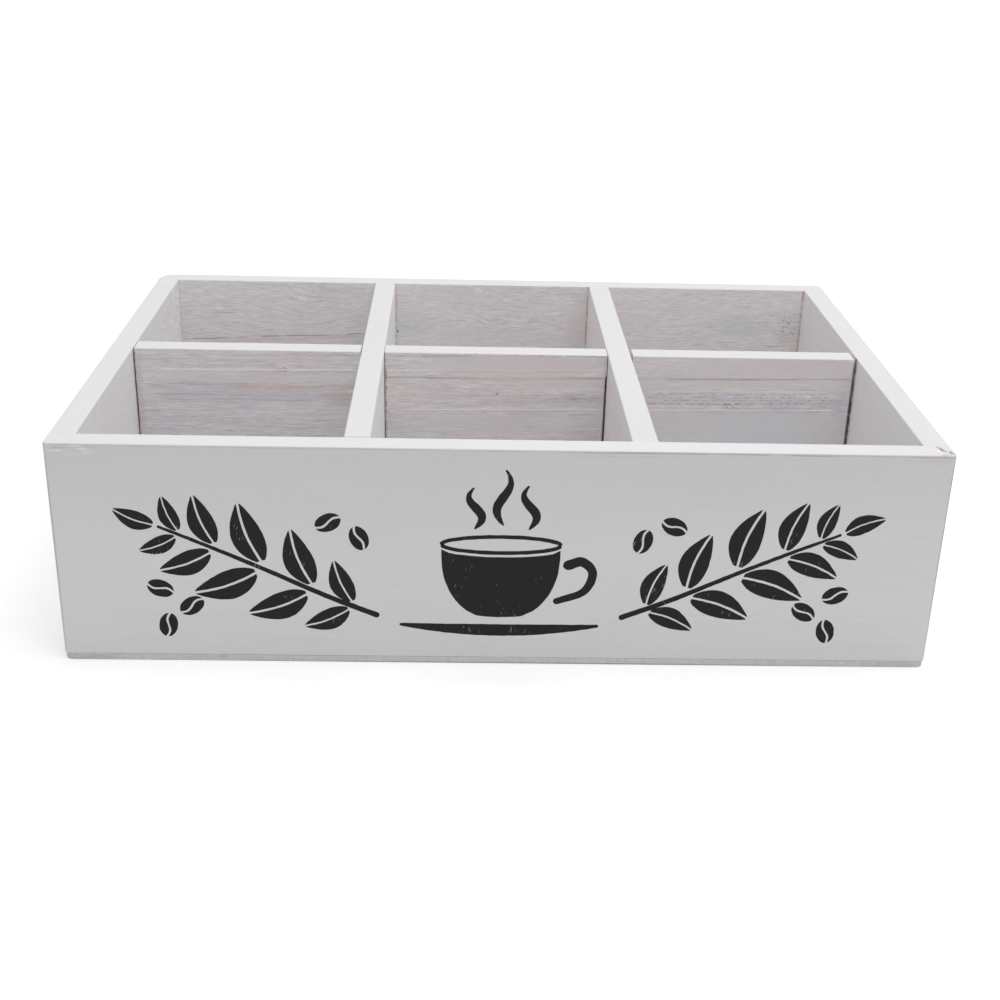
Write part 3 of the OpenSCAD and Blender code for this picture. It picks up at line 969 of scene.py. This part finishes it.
# Copies of an object at points, each with its own small turn
def bradTree():
    tree, g, given = newTree("bradRows", {"Copy": "Object", "Seed": "Int", "Material": "Material"})
    copy = g.value("GeometryNodeObjectInfo", None, {"Object": given["Copy"]}, out=4)
    turn = g.node("FunctionNodeRandomValue", {"data_type": "FLOAT"}, {2: 0.0, 3: 6.28, "Seed": given["Seed"]})
    spun = g.value("FunctionNodeEulerToRotation", None, {0: g.vector(0.0, 0.0, Value(g, turn.outputs[1]))})
    placed = g.value("GeometryNodeInstanceOnPoints", None, {
        "Points": given["Geometry"], "Instance": copy, "Rotation": spun})
    endTree(g, placed, given["Material"])
    return tree


def baseBrads():
    steel, copy = bradSteel(), bradCopy()
    made = meshObject("baseBrads", [(x, y, brads["sink"]) for x, y in bradSpots()], [])
    grown(made, bradTree(), {"Copy": copy, "Seed": 5, "Material": steel})
    bpy.data.objects.remove(copy)
    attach(made, "root")
    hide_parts("base_brads")
    for node in ("front_brads", "back_brads"):
        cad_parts[node].material_slots[0].material = steel


baseBrads()
print("brads driven")


# Painted ornament on the front: a plain cup between two sprigs, a thin film of black paint.
# Its places are in millimetres across the front and up from the underside.
art = {
    "film": 0.16 * mm, "wobble": 0.24 * mm, "grit": 2.0 * mm, "gap": 0.42,
    "cupRim": 47.0, "cupFoot": 20.5, "cupTopHalf": 21.5, "cupFootHalf": 9.0, "lipDip": 3.2,
    "handle": [(24.6, 41.2), (29.5, 42.6), (33.5, 38.0), (30.5, 30.5), (20.8, 26.5)],
    "saucerHalf": 36.0, "saucerUp": 14.2,
    "steam": [(-9.5, 55.5, 71, 1), (0.5, 57, 78, -1), (10, 55.5, 72, 1)], "steamSway": 2.4,
    # Widths of brush strokes: one, at the start and end, or at the ends and what the middle adds
    "lipWidth": 1.5, "handleWidths": (4.0, 2.6), "stemWidths": (2.2, 1.1),
    "saucerWidths": (1.2, 3.6), "steamWidths": (0.7, 2.6),
    "leafBend": 1.3, "leafLength": 22.0, "leafHalf": 4.7, "leafAway": 2.6, "leafAngle": 46.0,
    "stem": [(-45, 20), (-64, 28), (-87, 39), (-108, 48.5), (-122, 54.5)],
    "leafStops": [(0.11, 0.82), (0.29, 1.06), (0.48, 1.12), (0.67, 0.92), (0.86, 0.66)],
    "beanLength": 4.9, "beanHalf": 3.4,
    "beans": [(-112, 23, 35), (-123, 30, -20), (-121, 15, 80), (-62, 57, 25), (-51, 51, 110)],
}


# Points on a smooth curve through the given ones
def curveThrough(given, count):
    given = np.array(given, float)
    padded = np.vstack([2 * given[0] - given[1], given, 2 * given[-1] - given[-2]])
    spots = []
    for share in np.linspace(0, len(given) - 1 - 1e-9, count):
        k, t = int(share), share - int(share)
        a, b, c, d = padded[k:k + 4]
        bends = (c - a) * t + (2 * a - 5 * b + 4 * c - d) * t * t + (3 * b - a - 3 * c + d) * t ** 3
        spots.append(b + 0.5 * bends)
    return np.array(spots)


# Closed films of paint, each from a grid of places whose rows follow the shape
class Film:
    def __init__(self, front):
        self.front, self.points, self.faces = front, [], []

    def patch(self, grid):
        grid = np.array(grid, float) * mm
        rows, columns = grid.shape[:2]
        start, layer = len(self.points), rows * columns
        for depth in (self.front, self.front + art["film"]):
            self.points += [(x, depth, z) for x, z in grid.reshape(-1, 2)]
        across, onward = grid[0, -1] - grid[0, 0], grid[1, 0] - grid[0, 0]
        turned = across[0] * onward[1] - across[1] * onward[0] < 0
        faces = []
        for row in range(rows - 1):
            for column in range(columns - 1):
                first = start + row * columns + column
                ring = [first, first + 1, first + columns + 1, first + columns]
                faces += [ring, [corner + layer for corner in reversed(ring)]]
        border = [(0, c) for c in range(columns)] + [(r, columns - 1) for r in range(1, rows)]
        border += [(rows - 1, c) for c in range(columns - 2, -1, -1)]
        border += [(r, 0) for r in range(rows - 2, 0, -1)]
        ring = [start + r * columns + c for r, c in border]
        faces += [[a + layer, b + layer, b, a] for a, b in zip(ring, ring[1:] + ring[:1])]
        self.faces += [face[::-1] for face in faces] if turned else faces

    # A brush stroke with round ends along a curve
    def stroke(self, path, widths):
        path = np.array(path, float)
        widths = np.broadcast_to(np.array(widths, float), len(path))
        ways = np.gradient(path, axis=0)
        ways /= np.linalg.norm(ways, axis=1)[:, None]
        caps = []
        for end, outwards in ((0, -1), (-1, 1)):
            reach = ways[end] * widths[end] / 2 * outwards
            caps.append([(path[end] + reach * math.sin(turn), ways[end], widths[end] * math.cos(turn))
                         for turn in np.radians([25, 45, 62, 76, 86])])
        rows = []
        for spot, way, width in caps[0][::-1] + list(zip(path, ways, widths)) + caps[1]:
            aside = np.array([-way[1], way[0]]) * width / 2
            rows.append([spot - aside, spot, spot + aside])
        self.patch(rows)

    def made(self, name):
        return meshObject(name, self.points, self.faces)


# Gives painted shapes uneven edges; with copies, it first sets them at points that hold a turn and a size
def filmTree(copies):
    inputs = {"Wobble": "Float", "Grit": "Float", "Material": "Material"}
    if copies:
        inputs["Copy"] = "Object"
    tree, g, given = newTree("paintCopies" if copies else "paintStrokes", inputs)
    shape = given["Geometry"]
    if copies:
        turn, size = [g.value("GeometryNodeInputNamedAttribute", {"data_type": "FLOAT"}, {"Name": name})
                      for name in ("turn", "size")]
        copy = g.value("GeometryNodeObjectInfo", None, {"Object": given["Copy"]}, out=4)
        spun = g.value("FunctionNodeEulerToRotation", None, {0: g.vector(0.0, turn * -1.0, 0.0)})
        shape = g.value("GeometryNodeInstanceOnPoints", None, {
            "Points": shape, "Instance": copy, "Scale": g.vector(size, 1.0, size), "Rotation": spun})
        shape = g.value("GeometryNodeRealizeInstances", None, {0: shape})
    near = g.scaled(g.value("GeometryNodeInputPosition"), 1.0 / given["Grit"])
    shake = g.parts(g.noise(near, 2.0, 0.5, 1.0, out=1))
    sway = [(shake[i] - 0.5) * given["Wobble"] * 2.0 for i in (0, 2)]
    moved = g.value("GeometryNodeSetPosition", None, {
        "Geometry": shape, "Offset": g.vector(sway[0], 0.0, sway[1])})
    endTree(g, moved, given["Material"])
    return tree


# A leaf in two halves with a bare midrib between, from its stalk at the origin
def leafCopy():
    leaf, shares = Film(0.0), np.linspace(0.03, 0.985, 17)
    for side in (1, -1):
        rows = []
        for share in shares:
            wide = art["leafHalf"] * math.sin(math.pi * share ** 0.82) ** 0.85
            base = np.array([art["leafAway"] + art["leafLength"] * share,
                             art["leafBend"] * math.sin(math.pi * share) + side * art["gap"]])
            rows.append([base + (0, side * wide * u) for u in (0.0, 0.5, 1.0)])
        leaf.patch(rows)
    return leaf.made("leafCopy")


# A bean in two halves with a bare curved crease between
def beanCopy():
    bean, length, half = Film(0.0), art["beanLength"], art["beanHalf"]
    for side in (1, -1):
        rows = []
        for share in np.sin(np.linspace(-1.42, 1.42, 15)):
            outer = half * math.sqrt(1 - share * share)
            inner = min(0.22 * half * math.sin(math.pi * share) * side + art["gap"], outer - 0.05)
            rows.append([(length * share, side * (inner + (outer - inner) * u)) for u in (0.0, 0.5, 1.0)])
        bean.patch(rows)
    return bean.made("beanCopy")


def cupFilm():
    cup, rows = Film(cadLow.y), []
    for share in np.linspace(0, 1, 15):
        half = art["cupFootHalf"] + (art["cupTopHalf"] - art["cupFootHalf"]) * (1 - share ** 2.6) ** 0.75
        height = art["cupRim"] + (art["cupFoot"] - art["cupRim"]) * share
        dip = 0.9 * (art["lipDip"] * (1 - share) + share)
        rows.append([(half * u, height - dip * math.sqrt(1 - u * u)) for u in np.linspace(-1, 1, 17)])
    cup.patch(rows)
    for start, end in ((8, 172), (192, 348)):  # the lip, back and front
        turns = np.radians(np.linspace(start, end, 31))
        height = art["cupRim"] + 2.0 + art["lipDip"] * np.sin(turns)
        cup.stroke(np.stack([art["cupTopHalf"] * np.cos(turns), height], 1), art["lipWidth"])
    cup.stroke(curveThrough(art["handle"], 28), np.linspace(*art["handleWidths"], 28))
    across = np.linspace(-1, 1, 41)
    saucer = np.stack([art["saucerHalf"] * across, art["saucerUp"] + 2.0 * across ** 2], 1)
    ends, middle = art["saucerWidths"]
    cup.stroke(saucer, ends + middle * (1 - across ** 2))
    share = np.linspace(0, 1, 31)
    ends, middle = art["steamWidths"]
    for x, low, high, way in art["steam"]:
        sway = way * art["steamSway"] * np.sin(share * math.pi * 1.9)
        widths = ends + middle * np.sin(math.pi * share ** 0.8)
        cup.stroke(np.stack([x + sway, low + (high - low) * share], 1), widths)
    for side in (-1, 1):
        cup.stroke(curveThrough(art["stem"], 60) * (-side, 1), np.linspace(*art["stemWidths"], 60))
    return cup.made("paintedCup")


def leafSpots():
    stem, angle, spots = curveThrough(art["stem"], 200), math.radians(art["leafAngle"]), []
    ways = np.gradient(stem, axis=0)
    facing = np.arctan2(ways[:, 1], ways[:, 0])
    for stop, size in art["leafStops"]:
        k = int(stop * 199)
        spots += [(*stem[k], facing[k] + side * angle, size) for side in (-1, 1)]
    return spots + [(*stem[-1], facing[-1], 0.7)]


def beanSpots():
    return [(x, z, math.radians(turn), 1.0) for x, z, turn in art["beans"]]


# The points that carry leaves or beans, on the left and mirrored on the right
def spotsObject(name, spots):
    spots = spots + [(-x, z, math.pi - turn, size) for x, z, turn, size in spots]
    made = meshObject(name, [(x * mm, cadLow.y, z * mm) for x, z, turn, size in spots], [])
    for label, column in (("turn", 2), ("size", 3)):
        attribute = made.data.attributes.new(label, "FLOAT", "POINT")
        attribute.data.foreach_set("value", [float(spot[column]) for spot in spots])
    return made


def blackPaint():
    made, g = newMaterial("blackPaint")
    x, y, z = g.millimetres()
    fibre = g.noise(g.vector(x / 16.0, z / 0.42, 0.0), 2.0, 0.6, 4.0)
    cloud = g.noise(g.vector(x / 18.0, z / 18.0, 0.0), 2.0, 0.5, 2.0)
    scratch = g.noise(g.vector((x - z * 0.25) / 0.25, (z + x * 0.2) / 3.4, 0.0), 1.0, 0.4, 7.0)
    patch = g.ramp(g.noise(g.vector(x / 9.0, z / 9.0, 0.0), 1.0, 0.5, 9.0), 0.54, 0.62)
    pin = g.ramp(g.noise(g.vector(x / 0.55, z / 0.55, 0.0), 1.0, 0.5, 12.0), 0.78, 0.82)
    bare = g.math("MAXIMUM", g.ramp(scratch, 0.66, 0.71) * patch, pin * 0.8)
    colour = g.scaled(rgb(0.0125, 0.0125, 0.0125), 1.0 + (cloud - 0.5) * 0.5 + (fibre - 0.5) * 0.4)
    colour = g.blend(bare, colour, rgb(0.55, 0.55, 0.55))
    surface(g, colour, 0.62 + (cloud - 0.5) * 0.2, fibre * 0.6 + cloud * 0.3 - bare, 0.00005,
            {"Specular IOR Level": 0.2})
    return made


def paintedOrnament():
    shared = {"Wobble": art["wobble"], "Grit": art["grit"], "Material": blackPaint()}
    pieces, copyTree = [grown(cupFilm(), filmTree(False), shared)], filmTree(True)
    leaves, beans = ("paintedLeaves", leafSpots(), leafCopy()), ("paintedBeans", beanSpots(), beanCopy())
    for name, spots, copy in (leaves, beans):
        pieces.append(grown(spotsObject(name, spots), copyTree, {**shared, "Copy": copy}))
        bpy.data.objects.remove(copy)
    for piece in pieces:
        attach(piece, "root")


paintedOrnament()
print("ornament painted")


# Stage, light and camera
stage = {"floor": 3.0, "ambient": 0.52, "key": 17.5, "keySize": 1.6, "keyPlace": (0.34, -0.12, 1.7),
         "lift": 0.35, "farLift": 0.68, "liftReach": (0.28, 1.4)}
view = {"lens": 52.415, "place": (-0.01608, -0.58056, 0.27681), "turn": (65.9564, -1.383, -1.2344)}


# True for the rays that see the background: the camera's, and those in gloss and glass
def seenRay(g):
    path = g.node("ShaderNodeLightPath")
    kinds = ("Is Camera Ray", "Is Glossy Ray", "Is Transmission Ray")
    seen = [Value(g, path.outputs[kind]) for kind in kinds]
    return g.math("MAXIMUM", g.math("MAXIMUM", seen[0], seen[1]), seen[2])


# A pale floor that whitens away from the object for the camera and keeps the shadow near it
def makeFloor():
    half = stage["floor"]
    corners = [(-half, -half, 0), (half, -half, 0), (half, half, 0), (-half, half, 0)]
    floor = meshObject("floor", corners, [(0, 1, 2, 3)])
    made, g = newMaterial("paleFloor")
    x, y, z = g.parts(g.value("ShaderNodeTexCoord", out=3))
    lift = g.ramp(g.math("SQRT", x * x + y * y), *stage["liftReach"]) * stage["farLift"] + stage["lift"]
    plain = g.value("ShaderNodeBsdfDiffuse", None, {"Color": rgb(0.80, 0.80, 0.80)})
    glow = g.value("ShaderNodeEmission", None, {"Color": rgb(1, 1, 1), "Strength": lift})
    both = g.value("ShaderNodeAddShader", None, {0: plain, 1: glow})
    shader = g.value("ShaderNodeMixShader", None, {0: seenRay(g), 1: plain, 2: both})
    g.node("ShaderNodeOutputMaterial", None, {"Surface": shader})
    floor.data.materials.append(made)


def makeLight():
    world = bpy.data.worlds.new("studio")
    world.use_nodes = True
    world.node_tree.nodes.clear()
    scene.world = world
    g = Graph(world.node_tree)
    soft = g.value("ShaderNodeBackground", None, {"Color": rgb(1, 1, 1), "Strength": stage["ambient"]})
    white = g.value("ShaderNodeBackground", None, {"Color": rgb(1, 1, 1), "Strength": 1.0})
    g.node("ShaderNodeOutputWorld", None, {
        "Surface": g.value("ShaderNodeMixShader", None, {0: seenRay(g), 1: soft, 2: white})})
    lamp = bpy.data.lights.new("key", "AREA")
    lamp.shape, lamp.size, lamp.energy = "SQUARE", stage["keySize"], stage["key"]
    key = bpy.data.objects.new("key", lamp)
    key.location = stage["keyPlace"]
    key.rotation_euler = (-key.location).to_track_quat("-Z", "Y").to_euler()
    scene.collection.objects.link(key)


def makeCamera():
    lens = bpy.data.cameras.new("camera")
    lens.lens, lens.sensor_width, lens.clip_start = view["lens"], 36.0, 0.01
    camera = bpy.data.objects.new("camera", lens)
    camera.location = view["place"]
    camera.rotation_euler = Euler([math.radians(angle) for angle in view["turn"]], "XYZ")
    scene.collection.objects.link(camera)
    scene.camera = camera


makeFloor()
makeLight()
makeCamera()
scene.view_settings.view_transform = "Standard"
print("stage, light and camera made")
